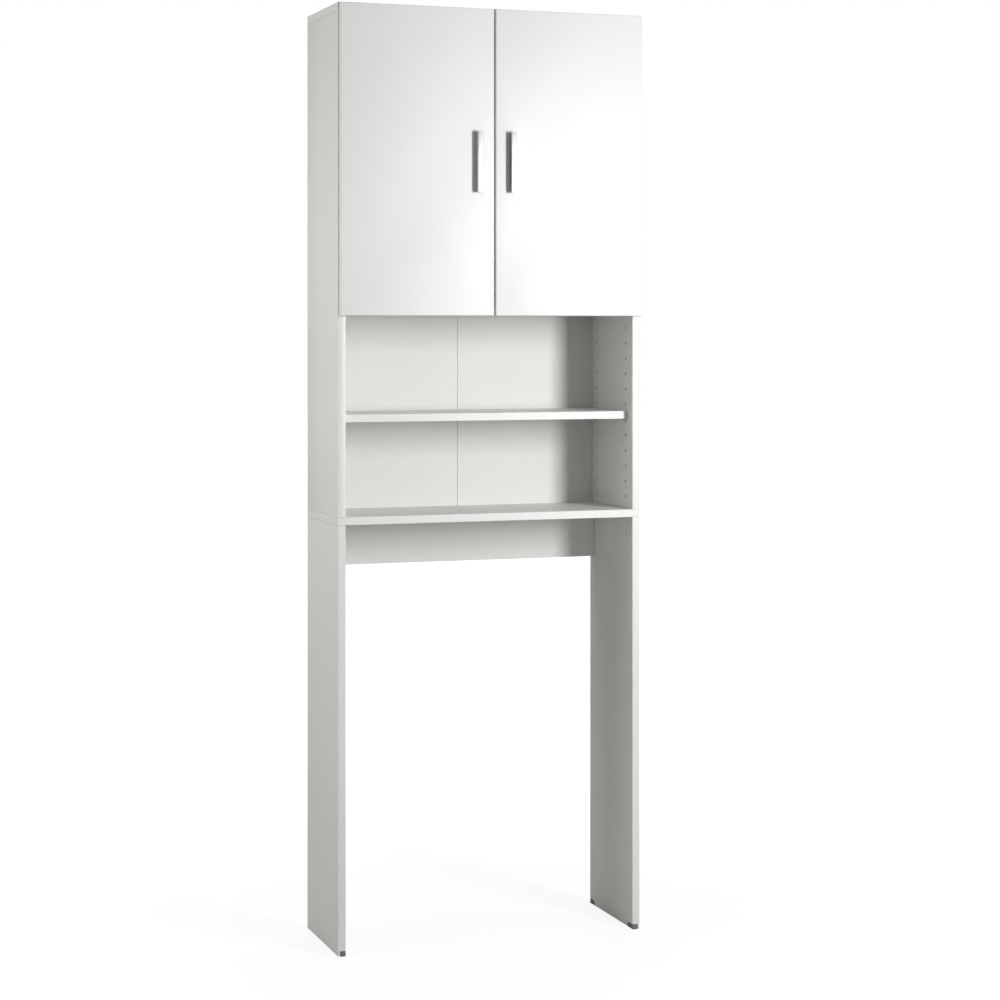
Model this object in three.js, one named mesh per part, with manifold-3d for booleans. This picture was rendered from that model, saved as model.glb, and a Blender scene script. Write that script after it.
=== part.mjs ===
// Cabinet that stands astride a washing machine: two legs, an open niche and a two-door cupboard.
// Millimetres, +Z up. X runs from left to right seen from the front, and the front faces -Y.
// The origin is at the floor, in the middle of the cabinet with its handles.
import * as THREE from "three";
import { mergeVertices } from "three/addons/utils/BufferGeometryUtils.js";
import Module from "manifold-3d";

const wasm = await Module();
wasm.setup();

// Carcass
const WIDTH = 650; // over the side panels
const HEIGHT = 1900; // floor to the top board's upper face
const CARCASS_DEPTH = 237; // side panels, front edge to back edge
const BOARD = 16; // laminated chipboard
const BAY_HEIGHT = 858; // floor to the underside of the bottom board
const SEAM = 0.3; // glue line or play between pieces that meet
const EDGE_RADIUS = 0.8; // edge banding, scraped round
const FIXED_SHELF_PLAY = 1.6; // fixed shelf's back edge to the back panel

// Hole rows and adjustable shelves
const HOLE_SPACING = 32;
const FIRST_HOLE = 25; // above the bottom board
const FRONT_ROW = 37; // from the front edge
const ROW_SPACING = 160; // front row to back row
const HOLE_RADIUS = 2.6;
const HOLE_DEPTH = 11;
const SHELF_SETBACK = 26; // shelf's front edge behind the carcass front
const SHELF_PLAY = 1; // at each end of a shelf
const NICHE_SHELF_SHARE = 0.46; // of the niche's height, taken to the nearest hole
const CUPBOARD_SHELF_SHARE = 0.47; // of the cupboard's height, likewise

// Shelf pins
const PIN_RADIUS = 2.4;
const PIN_REACH = 9; // into the panel
const PIN_TONGUE = 8; // under the shelf
const PIN_TAB_DROP = 6; // of the tab below the hole's middle
const PIN_WIDTH = 10;
const PIN_SHEET = 1.2;

// Back panel, stretcher and wall angles
const BACK_BOARD = 3;
const BACK_INSET = 10; // back edge of the carcass to the back panel
const GROOVE_DEPTH = 5;
const STRIP_WEB = 1.1; // between the two halves of the back
const STRIP_SETBACK = 1; // web's front edge behind the front of the back panel
const STRIP_FLANGE = 0.9;
const STRIP_REAR = 16; // width of the flange behind the back panel
const STRETCHER_HEIGHT = 100;
const ANGLE_LEG = 25;
const ANGLE_HEIGHT = 32;
const ANGLE_WIDTH = 20;
const ANGLE_SHEET = 2;
const ANGLE_HOLE_RADIUS = 2.6;
const ANGLE_OFFSET = 210; // from the middle of the cabinet
const ANGLE_SCREW_REACH = 10; // into the top board
const ANGLE_HEAD_RADIUS = 4;
const ANGLE_HEAD_HEIGHT = 2;

// Leg glides
const GLIDE_WIDTH = 12;
const GLIDE_LENGTH = 26;
const GLIDE_HEIGHT = 11;
const GLIDE_PROUD = 1; // below the leg
const GLIDE_CHAMFER = 1.5;

// Doors
const DOOR_HEIGHT = 622;
const DOOR_TOP_REVEAL = 2; // top board's upper face above the door
const DOOR_SIDE_REVEAL = 1.5; // door's outer edge inside the side panel's outer face
const DOOR_CENTRE_GAP = 4;
const DOOR_STAND_OFF = 2; // door's inner face before the carcass front
const DOOR_EDGE_RADIUS = 1.5;
const BUFFER_RADIUS = 4;
const BUFFER_TIP_RADIUS = 3;
const BUFFER_IN = 14; // buffer's middle, from the door's edge at the gap

// Handles. Each is an upright metal profile, whose flank faces its own side of the cabinet. The finger recess
// behind its front lip opens towards the other door.
const HANDLE_LENGTH = 123;
const HANDLE_WIDTH = 12;
const HANDLE_PROJECTION = 15;
const HANDLE_FROM_CENTRE = 36; // middle of the cabinet to the middle of the handle
const HANDLE_SPACING = 96; // between its two screws
const HANDLE_BASE = 4.5; // thickness of its foot on the door
const HANDLE_FLANK = 2.5;
const HANDLE_LIP = 2.5;
const LIP_CORNER = 0.9; // behind the lip's free edge
const RECESS_CORNER = 1.6;
const HANDLE_CORNER = 1.2;
const HANDLE_EDGE = 0.4;
const HANDLE_SCREW_IN = 7; // screw's middle, from the outside of the flank
const SCREW_RADIUS = 2;
const SCREW_HOLE_RADIUS = 2.4;
const SCREW_BITE = 4; // into the handle's foot
const SCREW_HEAD_RADIUS = 4;
const SCREW_HEAD_HEIGHT = 2.4;
const SCREW_CROSS = 1.1; // slot width of the cross recess
const SCREW_CROSS_DEPTH = 1.2;

// Concealed hinges. Each door turns about an upright axis 8 mm inside the side panel's outer face and 14 mm
// before the carcass front, which stands in for the moving centre that the links give.
const HINGE_CLEAR = 50; // least from a board to the nearest screw of a hinge's mounting plate
const CUP_RADIUS = 17.5;
const CUP_EDGE = 4; // door's outer edge to the cup's bore
const CUP_DEPTH = 11.5;
const CUP_WALL = 1;
const CUP_FLANGE = 1;
const CUP_EAR_SPACING = 48;
const CUP_EAR_RADIUS = 5;
const CUP_EAR_OFFSET = 6; // ears' line behind the cup's middle, away from the door's edge
const CUP_PLAY = 0.25; // cup in its bore
const CUP_RIM = 1.25; // flange round the cup, outside its wall
const CUP_SCREW_RADIUS = 3.6;
const CUP_SCREW_HEIGHT = 1.6;
const LINK_PIN_IN = 28.7; // link's pin on the arm, inside the side panel's outer face
const LINK_PIN_OUT = 6.5; // before the carcass front
const LINK_END_IN = 11.3; // link's other end, in the cup
const LINK_END_OUT = 5;
const LINK_BOW = 3.7; // how far it bows round the cup's rim
const LINK_BOW_SHARES = [
  [0, 0],
  [0.14, 0.73],
  [0.32, 1],
  [0.53, 0.86],
  [1, 0],
]; // from the cup's end: along the link, and of its bow
const LINK_SHEET = 2;
const LINK_WIDTH = 6;
const LINK_KNUCKLE_RADIUS = 2.4;
const LINK_KNUCKLE_WIDTH = 10;
const LINK_BORE_RADIUS = 1.7;
const LINK_TIP_RADIUS = 1.2;
const LINK_PIN_RADIUS = 1.4;
const ARM_WIDTH = 13;
const ARM_SHEET = 1.2;
const ARM_EYE_RADIUS = 3.2;
const ARM_SCREWS = [18, 37]; // adjusting screw and fixing screw, from the carcass front
const ARM_SCREW_RADIUS = 3.4;
const ARM_SCREW_HEIGHT = 1.4;
const ARM_LIFT = 4; // channel's open edge above the side panel
const ARM_HEIGHT = 11.5; // channel's back above the side panel
const ARM_NOSE_HEIGHT = 17;
const ARM_LENGTH = 62; // carcass front to the tail
const ARM_NECK_FRONT = 2; // from the carcass front
const ARM_NECK_BACK = 10;
const ARM_WEB_END = 1; // before the carcass front
const ARM_TAIL_CHAMFER = 4;
const RAIL_FRONT = 12; // from the carcass front
const RAIL_BACK = 55;
const WING_RADIUS = 8;
const PLATE_SHEET = 2;
const PLATE_SCREW_RADIUS = 2.4;
const PLATE_SCREW_REACH = 9; // into the side panel

const HEAD_TAPER_SHARE = 0.75; // a head's face against its seat
const CROSS_REACH_SHARE = 0.6; // cross recess against the head's radius
const HOLE_SLACK_SHARE = 0.01; // keeps the last hole when the spacing divides the height exactly
const SEGMENTS_EDGE = 2;
const SEGMENTS_CORNER = 5;
const SEGMENTS_PROFILE = 3;
const SEGMENTS_HOLE = 8;
const SEGMENTS_ROUND = 12;
const SEGMENTS_CUP = 24;
const SEGMENTS_LINK = 12;
const OVERRUN = 5; // how far a cutter passes a face

// Levels and planes that follow from the sizes above
const DEPTH = CARCASS_DEPTH + DOOR_STAND_OFF + BOARD + HANDLE_PROJECTION;
const BACK_Y = DEPTH / 2;
const FRONT_Y = BACK_Y - CARCASS_DEPTH;
const DOOR_BACK_Y = FRONT_Y - DOOR_STAND_OFF;
const DOOR_FRONT_Y = DOOR_BACK_Y - BOARD;
const OUTER_X = WIDTH / 2;
const INNER_X = OUTER_X - BOARD;
const BOTTOM_TOP = BAY_HEIGHT + BOARD;
const TOP_UNDERSIDE = HEIGHT - BOARD;
const DOOR_TOP = HEIGHT - DOOR_TOP_REVEAL;
const MIDDLE_UNDERSIDE = DOOR_TOP - DOOR_HEIGHT;
const MIDDLE_TOP = MIDDLE_UNDERSIDE + BOARD;
const BACK_PANEL_BACK = BACK_Y - BACK_INSET;
const BACK_PANEL_FRONT = BACK_PANEL_BACK - BACK_BOARD;
const DOOR_WIDTH = (WIDTH - DOOR_CENTRE_GAP) / 2 - DOOR_SIDE_REVEAL;
const DOOR_MIDDLE = MIDDLE_UNDERSIDE + DOOR_HEIGHT / 2;
const BUFFER_HEIGHT = DOOR_STAND_OFF - 2 * SEAM;

const material = (color, roughness, metalness) =>
  new THREE.MeshStandardMaterial({ color, roughness, metalness });
const WHITE_BOARD = material(0xf1f1ef, 0.45, 0);
const WHITE_BACK = material(0xebebe9, 0.55, 0);
const WHITE_PLASTIC = material(0xf4f4f2, 0.35, 0);
const BLACK_PLASTIC = material(0x1b1b1c, 0.6, 0);
const SATIN_METAL = material(0xb9bab8, 0.35, 1);
const ZINC = material(0xa7a9ab, 0.4, 1);

const cabinet = new THREE.Group();

function solidOf(geometry) {
  const bare = new THREE.BufferGeometry();
  const plain = geometry.index ? geometry.toNonIndexed() : geometry;
  bare.setAttribute("position", plain.getAttribute("position"));
  const merged = mergeVertices(bare);
  return new wasm.Manifold(
    new wasm.Mesh({
      numProp: 3,
      vertProperties: merged.attributes.position.array,
      triVerts: new Uint32Array(merged.index.array),
    }),
  );
}

function geometryOf(solid) {
  const mesh = solid.getMesh();
  const geometry = new THREE.BufferGeometry();
  geometry.setAttribute("position", new THREE.BufferAttribute(mesh.vertProperties, 3));
  geometry.setIndex(new THREE.BufferAttribute(mesh.triVerts, 1));
  const flat = geometry.toNonIndexed();
  flat.computeVertexNormals();
  return flat;
}

function add(name, solid, finish) {
  const mesh = new THREE.Mesh(geometryOf(solid), finish);
  mesh.name = name;
  cabinet.add(mesh);
}

// Axes that lay an extrusion with its thickness along X, Y or Z
const LIES = {
  x: [new THREE.Vector3(0, 1, 0), new THREE.Vector3(0, 0, 1), new THREE.Vector3(1, 0, 0)],
  y: [new THREE.Vector3(0, 0, 1), new THREE.Vector3(1, 0, 0), new THREE.Vector3(0, 1, 0)],
  z: [new THREE.Vector3(1, 0, 0), new THREE.Vector3(0, 1, 0), new THREE.Vector3(0, 0, 1)],
};

function plate(outline, thickness, thin, radius = 0, curveSegments = SEGMENTS_CORNER) {
  const geometry = new THREE.ExtrudeGeometry(outline, {
    depth: thickness - 2 * radius,
    bevelEnabled: radius > 0,
    bevelThickness: radius,
    bevelSize: radius,
    bevelOffset: -radius,
    bevelSegments: SEGMENTS_EDGE,
    curveSegments,
  });
  geometry.translate(0, 0, radius);
  return geometry.applyMatrix4(new THREE.Matrix4().makeBasis(...LIES[thin]));
}

function rectangle(left, right, low, high) {
  const shape = new THREE.Shape();
  shape.moveTo(left, low).lineTo(right, low).lineTo(right, high).lineTo(left, high).closePath();
  return shape;
}

// A box between two corners, with the edges of its two faces across the thin axis rounded
function board(a, b, thin, radius = EDGE_RADIUS) {
  const low = a.clone().min(b);
  const size = a.clone().max(b).sub(low);
  const [along, across] = { x: [size.y, size.z], y: [size.z, size.x], z: [size.x, size.y] }[thin];
  const blank = plate(rectangle(0, along, 0, across), size[thin], thin, radius);
  return solidOf(blank.translate(low.x, low.y, low.z));
}

const at = (x, y, z) => new THREE.Vector3(x, y, z);

function rod(radius, from, to, segments = SEGMENTS_ROUND, endRadius = radius) {
  const along = to.clone().sub(from);
  const geometry = new THREE.CylinderGeometry(endRadius, radius, along.length(), segments);
  const turn = new THREE.Quaternion().setFromUnitVectors(at(0, 1, 0), along.clone().normalize());
  geometry.applyQuaternion(turn);
  const middle = from.clone().add(to).divideScalar(2);
  return solidOf(geometry.translate(middle.x, middle.y, middle.z));
}

const cut = (solid, tools) => tools.reduce((left, tool) => left.subtract(tool), solid);
const join = (solids) => solids.reduce((whole, piece) => whole.add(piece));

// Left is -1 and right is +1. A place is given by how far it lies inside the outer face of its side.
const SIDES = { left: -1, right: 1 };
const inside = (side, distance) => side * (OUTER_X - distance);

// Hole rows
const holeLevel = (index) => BOTTOM_TOP + FIRST_HOLE + index * HOLE_SPACING;
const holesBelow = (level) => (level - holeLevel(0)) / HOLE_SPACING;
const LAST_HOLE = Math.floor(holesBelow(TOP_UNDERSIDE - FIRST_HOLE) + HOLE_SLACK_SHARE);
const inFixedShelf = (level) =>
  level > MIDDLE_UNDERSIDE - HOLE_RADIUS && level < MIDDLE_TOP + HOLE_RADIUS;
const ROWS = [FRONT_Y + FRONT_ROW, FRONT_Y + FRONT_ROW + ROW_SPACING];

function holes(side) {
  const tools = [];
  for (let index = 0; index <= LAST_HOLE; index += 1) {
    const level = holeLevel(index);
    if (inFixedShelf(level)) continue;
    for (const y of ROWS) {
      const bottom = at(inside(side, BOARD - HOLE_DEPTH), y, level);
      const mouth = at(inside(side, BOARD + OVERRUN), y, level);
      tools.push(rod(HOLE_RADIUS, bottom, mouth, SEGMENTS_HOLE));
    }
  }
  return tools;
}

// The groove that holds the back panel, cut as a bar from one corner to the other
const GROOVE_FRONT = BACK_PANEL_FRONT - SEAM;
const GROOVE_BACK = BACK_PANEL_BACK + SEAM;
const groove = (a, b) => board(at(a.x, GROOVE_FRONT, a.z), at(b.x, GROOVE_BACK, b.z), "y", 0);

function sidePanel(side) {
  const blank = board(
    at(inside(side, 0), FRONT_Y, BOTTOM_TOP + SEAM),
    at(inside(side, BOARD), BACK_Y, TOP_UNDERSIDE - SEAM),
    "x",
  );
  const channel = groove(
    at(inside(side, BOARD - GROOVE_DEPTH), 0, BOTTOM_TOP - OVERRUN),
    at(inside(side, BOARD + OVERRUN), 0, TOP_UNDERSIDE + OVERRUN),
  );
  return cut(blank, [channel, ...holes(side)]);
}

function legPanel(side) {
  const blank = board(
    at(inside(side, 0), FRONT_Y, GLIDE_PROUD),
    at(inside(side, BOARD), BACK_Y, BAY_HEIGHT - SEAM),
    "x",
  );
  const notch = (end, into) =>
    board(
      at(inside(side, BOARD - GLIDE_WIDTH), end - into * OVERRUN, -OVERRUN),
      at(inside(side, BOARD + OVERRUN), end + into * GLIDE_LENGTH, GLIDE_HEIGHT),
      "x",
      0,
    );
  return cut(blank, [notch(FRONT_Y, 1), notch(BACK_Y, -1)]);
}

// A glide fills its notch but for the play, and its tread is chamfered along its length.
function glide(side, end, into) {
  const innerX = inside(side, BOARD);
  const outerX = inside(side, BOARD - GLIDE_WIDTH + SEAM);
  const left = Math.min(innerX, outerX);
  const right = Math.max(innerX, outerX);
  const outline = new THREE.Shape();
  outline.moveTo(GLIDE_CHAMFER, left).lineTo(0, left + GLIDE_CHAMFER).lineTo(0, right - GLIDE_CHAMFER);
  outline.lineTo(GLIDE_CHAMFER, right).lineTo(GLIDE_HEIGHT - SEAM, right);
  outline.lineTo(GLIDE_HEIGHT - SEAM, left).closePath();
  const length = GLIDE_LENGTH - SEAM;
  return solidOf(plate(outline, length, "y").translate(0, into > 0 ? end : end - length, 0));
}

function level(low, thickness, frontSetback, endInset, backY, name, tools = []) {
  const half = OUTER_X - endInset;
  const blank = board(at(-half, FRONT_Y + frontSetback, low), at(half, backY, low + thickness), "z");
  add(name, cut(blank, tools), WHITE_BOARD);
}

const GROOVE_END = INNER_X + GROOVE_DEPTH;
const acrossGroove = (low, high) => groove(at(-GROOVE_END, 0, low), at(GROOVE_END, 0, high));

// Carcass
for (const [name, side] of Object.entries(SIDES)) {
  add(`${name}_leg_panel`, legPanel(side), WHITE_BOARD);
  add(`${name}_side_panel`, sidePanel(side), WHITE_BOARD);
  add(`${name}_front_glide`, glide(side, FRONT_Y, 1), BLACK_PLASTIC);
  add(`${name}_rear_glide`, glide(side, BACK_Y, -1), BLACK_PLASTIC);
}
level(BAY_HEIGHT, BOARD, 0, 0, BACK_Y, "bottom_board", [
  acrossGroove(BOTTOM_TOP - GROOVE_DEPTH, BOTTOM_TOP + OVERRUN),
]);
const angleScrewPlace = (side, z) => at(side * ANGLE_OFFSET, BACK_PANEL_FRONT - SEAM - ANGLE_LEG / 2, z);
const angleScrewHoles = Object.values(SIDES).map((side) =>
  rod(
    SCREW_HOLE_RADIUS,
    angleScrewPlace(side, TOP_UNDERSIDE - OVERRUN),
    angleScrewPlace(side, TOP_UNDERSIDE + ANGLE_SCREW_REACH + SEAM),
    SEGMENTS_HOLE,
  ),
);
level(TOP_UNDERSIDE, BOARD, 0, 0, BACK_Y, "top_board", [
  acrossGroove(TOP_UNDERSIDE - OVERRUN, TOP_UNDERSIDE + GROOVE_DEPTH),
  ...angleScrewHoles,
]);
const SHELF_BACK = BACK_PANEL_FRONT - FIXED_SHELF_PLAY;
level(MIDDLE_UNDERSIDE, BOARD, 0, BOARD + SEAM, SHELF_BACK, "middle_shelf");

// Adjustable shelves and their pins
const nearestHole = (low, high, share) => holeLevel(Math.round(holesBelow(low + (high - low) * share)));
const SHELF_HOLES = {
  niche: nearestHole(BOTTOM_TOP, MIDDLE_UNDERSIDE, NICHE_SHELF_SHARE),
  cupboard: nearestHole(MIDDLE_TOP, TOP_UNDERSIDE, CUPBOARD_SHELF_SHARE),
};

function shelfPin(side, y, z) {
  const face = BOARD + SEAM;
  const spigot = rod(
    PIN_RADIUS,
    at(inside(side, BOARD - PIN_REACH), y, z),
    at(inside(side, face + PIN_SHEET / 2), y, z),
    SEGMENTS_HOLE,
  );
  const tab = board(
    at(inside(side, face), y - PIN_WIDTH / 2, z - PIN_TAB_DROP),
    at(inside(side, face + PIN_SHEET), y + PIN_WIDTH / 2, z + PIN_RADIUS),
    "x",
    0,
  );
  const tongue = board(
    at(inside(side, face), y - PIN_WIDTH / 2, z + PIN_RADIUS - PIN_SHEET),
    at(inside(side, face + PIN_TONGUE), y + PIN_WIDTH / 2, z + PIN_RADIUS),
    "z",
    0,
  );
  return join([spigot, tab, tongue]);
}

for (const [shelf, hole] of Object.entries(SHELF_HOLES)) {
  const underside = hole + PIN_RADIUS + SEAM;
  level(underside, BOARD, SHELF_SETBACK, BOARD + SHELF_PLAY, SHELF_BACK, `${shelf}_shelf`);
  for (const [name, side] of Object.entries(SIDES)) {
    add(`${shelf}_pin_${name}_front`, shelfPin(side, ROWS[0], hole), ZINC);
    add(`${shelf}_pin_${name}_rear`, shelfPin(side, ROWS[1], hole), ZINC);
  }
}

// Back panel halves, their joining strip, the stretcher and the wall angles
const WEB_HALF = STRIP_WEB / 2;
for (const [name, side] of Object.entries(SIDES)) {
  const half = board(
    at(side * (WEB_HALF + SEAM), BACK_PANEL_FRONT, BOTTOM_TOP - GROOVE_DEPTH + SEAM),
    at(side * (INNER_X + GROOVE_DEPTH - SEAM), BACK_PANEL_BACK, TOP_UNDERSIDE + GROOVE_DEPTH - SEAM),
    "y",
    0,
  );
  add(`${name}_back_panel`, half, WHITE_BACK);
}

function joiningStrip() {
  const backFace = BACK_PANEL_BACK + SEAM;
  const low = BOTTOM_TOP + SEAM;
  const high = TOP_UNDERSIDE - SEAM;
  const bar = (halfWidth, front, back) =>
    board(at(-halfWidth, front, low), at(halfWidth, back, high), "z", 0);
  return join([
    bar(WEB_HALF, BACK_PANEL_FRONT + STRIP_SETBACK, backFace + STRIP_FLANGE / 2),
    bar(STRIP_REAR / 2, backFace, backFace + STRIP_FLANGE),
  ]);
}
add("back_joining_strip", joiningStrip(), WHITE_PLASTIC);

const STRETCHER_TOP = BAY_HEIGHT - SEAM;
add(
  "rear_stretcher",
  board(
    at(-INNER_X + SEAM, BACK_PANEL_BACK - BOARD, STRETCHER_TOP - STRETCHER_HEIGHT),
    at(INNER_X - SEAM, BACK_PANEL_BACK, STRETCHER_TOP),
    "y",
  ),
  WHITE_BOARD,
);

function wallAngle(side) {
  const x = side * ANGLE_OFFSET;
  const left = x - ANGLE_WIDTH / 2;
  const right = x + ANGLE_WIDTH / 2;
  const back = BACK_PANEL_FRONT - SEAM;
  const top = TOP_UNDERSIDE - SEAM;
  const upright = board(at(left, back - ANGLE_SHEET, top - ANGLE_HEIGHT), at(right, back, top), "y", 0);
  const flat = board(at(left, back - ANGLE_LEG, top - ANGLE_SHEET), at(right, back, top), "z", 0);
  const wallHole = at(x, back, top - ANGLE_HEIGHT / 2);
  return cut(join([upright, flat]), [
    rod(ANGLE_HOLE_RADIUS, wallHole.clone().setY(back - OVERRUN), wallHole.clone().setY(back + OVERRUN)),
    rod(ANGLE_HOLE_RADIUS, angleScrewPlace(side, top - OVERRUN), angleScrewPlace(side, top + OVERRUN)),
  ]);
}

// Doors
const handleScrewLevels = [DOOR_MIDDLE + HANDLE_SPACING / 2, DOOR_MIDDLE - HANDLE_SPACING / 2];
const handleFlankX = HANDLE_FROM_CENTRE + HANDLE_WIDTH / 2;
const handleScrewX = (side) => side * (handleFlankX - HANDLE_SCREW_IN);
const lowestHingeHole = holeLevel(Math.ceil(holesBelow(MIDDLE_TOP + HINGE_CLEAR)));
const highestHingeHole = holeLevel(Math.floor(holesBelow(TOP_UNDERSIDE - HINGE_CLEAR)));
const HINGES = {
  lower: lowestHingeHole + HOLE_SPACING / 2,
  upper: highestHingeHole - HOLE_SPACING / 2,
};
const CUP_IN = DOOR_SIDE_REVEAL + CUP_EDGE + CUP_RADIUS; // cup's middle, inside the side panel's outer face

function door(side) {
  const blank = board(
    at(side * (DOOR_CENTRE_GAP / 2), DOOR_FRONT_Y, MIDDLE_UNDERSIDE),
    at(inside(side, DOOR_SIDE_REVEAL), DOOR_BACK_Y, DOOR_TOP),
    "y",
    DOOR_EDGE_RADIUS,
  );
  const screwX = handleScrewX(side);
  const screwHoles = handleScrewLevels.map((z) =>
    rod(SCREW_HOLE_RADIUS, at(screwX, DOOR_FRONT_Y - OVERRUN, z), at(screwX, DOOR_BACK_Y + OVERRUN, z)),
  );
  const cupX = inside(side, CUP_IN);
  const cupBores = Object.values(HINGES).map((z) =>
    rod(CUP_RADIUS, at(cupX, DOOR_BACK_Y - CUP_DEPTH, z), at(cupX, DOOR_BACK_Y + OVERRUN, z), SEGMENTS_CUP),
  );
  return cut(blank, [...screwHoles, ...cupBores]);
}

// The handle's outline seen from above. A corner's place is given from the outside of the flank and from the
// door's front, and then its radius.
function handleOutline(side) {
  const lipBack = HANDLE_PROJECTION - HANDLE_LIP;
  const corners = [
    [0, SEAM, 0],
    [0, HANDLE_PROJECTION, HANDLE_CORNER],
    [HANDLE_WIDTH, HANDLE_PROJECTION, HANDLE_CORNER],
    [HANDLE_WIDTH, lipBack, LIP_CORNER],
    [HANDLE_FLANK, lipBack, RECESS_CORNER],
    [HANDLE_FLANK, HANDLE_BASE, RECESS_CORNER],
    [HANDLE_WIDTH, HANDLE_BASE, HANDLE_CORNER],
    [HANDLE_WIDTH, SEAM, 0],
  ];
  const points = corners.map(
    ([within, out]) => new THREE.Vector2(side * (handleFlankX - within), DOOR_FRONT_Y - out),
  );
  const outline = new THREE.Shape();
  corners.forEach(([, , radius], index) => {
    const corner = points[index];
    const [start, end] = [points.at(index - 1), points[(index + 1) % points.length]].map((next) =>
      corner.clone().addScaledVector(next.clone().sub(corner).normalize(), radius),
    );
    if (index === 0) outline.moveTo(start.x, start.y);
    else outline.lineTo(start.x, start.y);
    if (radius > 0) outline.quadraticCurveTo(corner.x, corner.y, end.x, end.y);
  });
  return outline.closePath();
}

function handle(side) {
  const bar = plate(handleOutline(side), HANDLE_LENGTH, "z", HANDLE_EDGE, SEGMENTS_PROFILE);
  const blank = solidOf(bar.translate(0, 0, DOOR_MIDDLE - HANDLE_LENGTH / 2));
  const x = handleScrewX(side);
  const threads = handleScrewLevels.map((z) =>
    rod(SCREW_HOLE_RADIUS, at(x, DOOR_FRONT_Y - HANDLE_BASE - OVERRUN, z), at(x, DOOR_FRONT_Y + OVERRUN, z)),
  );
  return cut(blank, threads);
}

// Two crossed slots in a screw head's face, which looks along out
function crossRecess(face, out, radius) {
  const [u, v] = ["x", "y", "z"].filter((axis) => !out[axis]);
  return [u, v].map((along) => {
    const wide = along === u ? v : u;
    const reach = at(0, 0, 0);
    reach[along] = radius;
    reach[wide] = SCREW_CROSS / 2;
    const low = face.clone().sub(reach).addScaledVector(out, -SCREW_CROSS_DEPTH);
    const high = face.clone().add(reach).addScaledVector(out, OVERRUN);
    return board(low, high, "z", 0);
  });
}

function screwHead(seat, out, radius, height) {
  const top = seat.clone().addScaledVector(out, height);
  const head = rod(radius, seat, top, SEGMENTS_ROUND, radius * HEAD_TAPER_SHARE);
  return cut(head, crossRecess(top, out, radius * CROSS_REACH_SHARE));
}

function handleScrew(side, z) {
  const x = handleScrewX(side);
  const seat = at(x, DOOR_BACK_Y + SEAM, z);
  const tip = at(x, DOOR_FRONT_Y - SCREW_BITE, z);
  const shank = rod(SCREW_RADIUS, tip, seat.clone().setY(seat.y + SCREW_HEAD_HEIGHT / 2), SEGMENTS_HOLE);
  return join([screwHead(seat, at(0, 1, 0), SCREW_HEAD_RADIUS, SCREW_HEAD_HEIGHT), shank]);
}

function angleScrew(side) {
  const seat = angleScrewPlace(side, TOP_UNDERSIDE - SEAM - ANGLE_SHEET - SEAM);
  const tip = angleScrewPlace(side, TOP_UNDERSIDE + ANGLE_SCREW_REACH);
  const shank = rod(SCREW_RADIUS, seat.clone().setZ(seat.z - ANGLE_HEAD_HEIGHT / 2), tip, SEGMENTS_HOLE);
  return join([screwHead(seat, at(0, 0, -1), ANGLE_HEAD_RADIUS, ANGLE_HEAD_HEIGHT), shank]);
}

for (const [name, side] of Object.entries(SIDES)) {
  add(`wall_angle_${name}`, wallAngle(side), ZINC);
  add(`wall_angle_screw_${name}`, angleScrew(side), ZINC);
}

// A buffer sits on the back of the door and meets the front edge of the top board or of the middle shelf.
function doorBuffer(side, z) {
  const x = side * (DOOR_CENTRE_GAP / 2 + BUFFER_IN);
  const base = at(x, DOOR_BACK_Y + SEAM, z);
  const tip = base.clone().setY(base.y + BUFFER_HEIGHT);
  return rod(BUFFER_RADIUS, base, tip, SEGMENTS_ROUND, BUFFER_TIP_RADIUS);
}

for (const [name, side] of Object.entries(SIDES)) {
  add(`${name}_door`, door(side), WHITE_BOARD);
  add(`${name}_handle`, handle(side), SATIN_METAL);
  add(`${name}_handle_screw_upper`, handleScrew(side, handleScrewLevels[0]), ZINC);
  add(`${name}_handle_screw_lower`, handleScrew(side, handleScrewLevels[1]), ZINC);
  add(`${name}_door_buffer_upper`, doorBuffer(side, TOP_UNDERSIDE + BOARD / 2), WHITE_PLASTIC);
  add(`${name}_door_buffer_lower`, doorBuffer(side, MIDDLE_UNDERSIDE + BOARD / 2), WHITE_PLASTIC);
}

// Concealed hinges
function hingeCup(side, z) {
  const x = inside(side, CUP_IN);
  const radius = CUP_RADIUS - CUP_PLAY;
  const seat = DOOR_BACK_Y + SEAM;
  const bottom = DOOR_BACK_Y - CUP_DEPTH + SEAM;
  const lip = seat + CUP_FLANGE;
  const body = rod(radius, at(x, bottom, z), at(x, lip, z), SEGMENTS_CUP);
  const rim = rod(radius + CUP_RIM, at(x, seat, z), at(x, lip, z), SEGMENTS_CUP);
  const earX = inside(side, CUP_IN + CUP_EAR_OFFSET);
  const reach = CUP_EAR_SPACING / 2;
  const ears = new THREE.Shape();
  ears.absarc(z + reach, earX, CUP_EAR_RADIUS, -Math.PI / 2, Math.PI / 2, false);
  ears.absarc(z - reach, earX, CUP_EAR_RADIUS, Math.PI / 2, Math.PI * 1.5, false);
  const flange = solidOf(plate(ears, CUP_FLANGE, "y").translate(0, seat, 0));
  const heads = [z + reach, z - reach].map((level) =>
    screwHead(at(earX, lip - CUP_FLANGE / 2, level), at(0, 1, 0), CUP_SCREW_RADIUS, CUP_SCREW_HEIGHT),
  );
  const hollow = rod(radius - CUP_WALL, at(x, bottom + CUP_WALL, z), at(x, lip + OVERRUN, z), SEGMENTS_CUP);
  return join([cut(join([body, rim, flange]), [hollow]), ...heads]);
}

// A plan point inside the side panel's outer face and behind the carcass front
const planPoint = (side, within, behind) => new THREE.Vector2(inside(side, within), FRONT_Y + behind);
const lying = (points, z, width) =>
  solidOf(plate(new THREE.Shape(points), width, "z").translate(0, 0, z - width / 2));
const upright = (point, radius, z, width) =>
  rod(radius, at(point.x, point.y, z - width / 2), at(point.x, point.y, z + width / 2));

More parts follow.
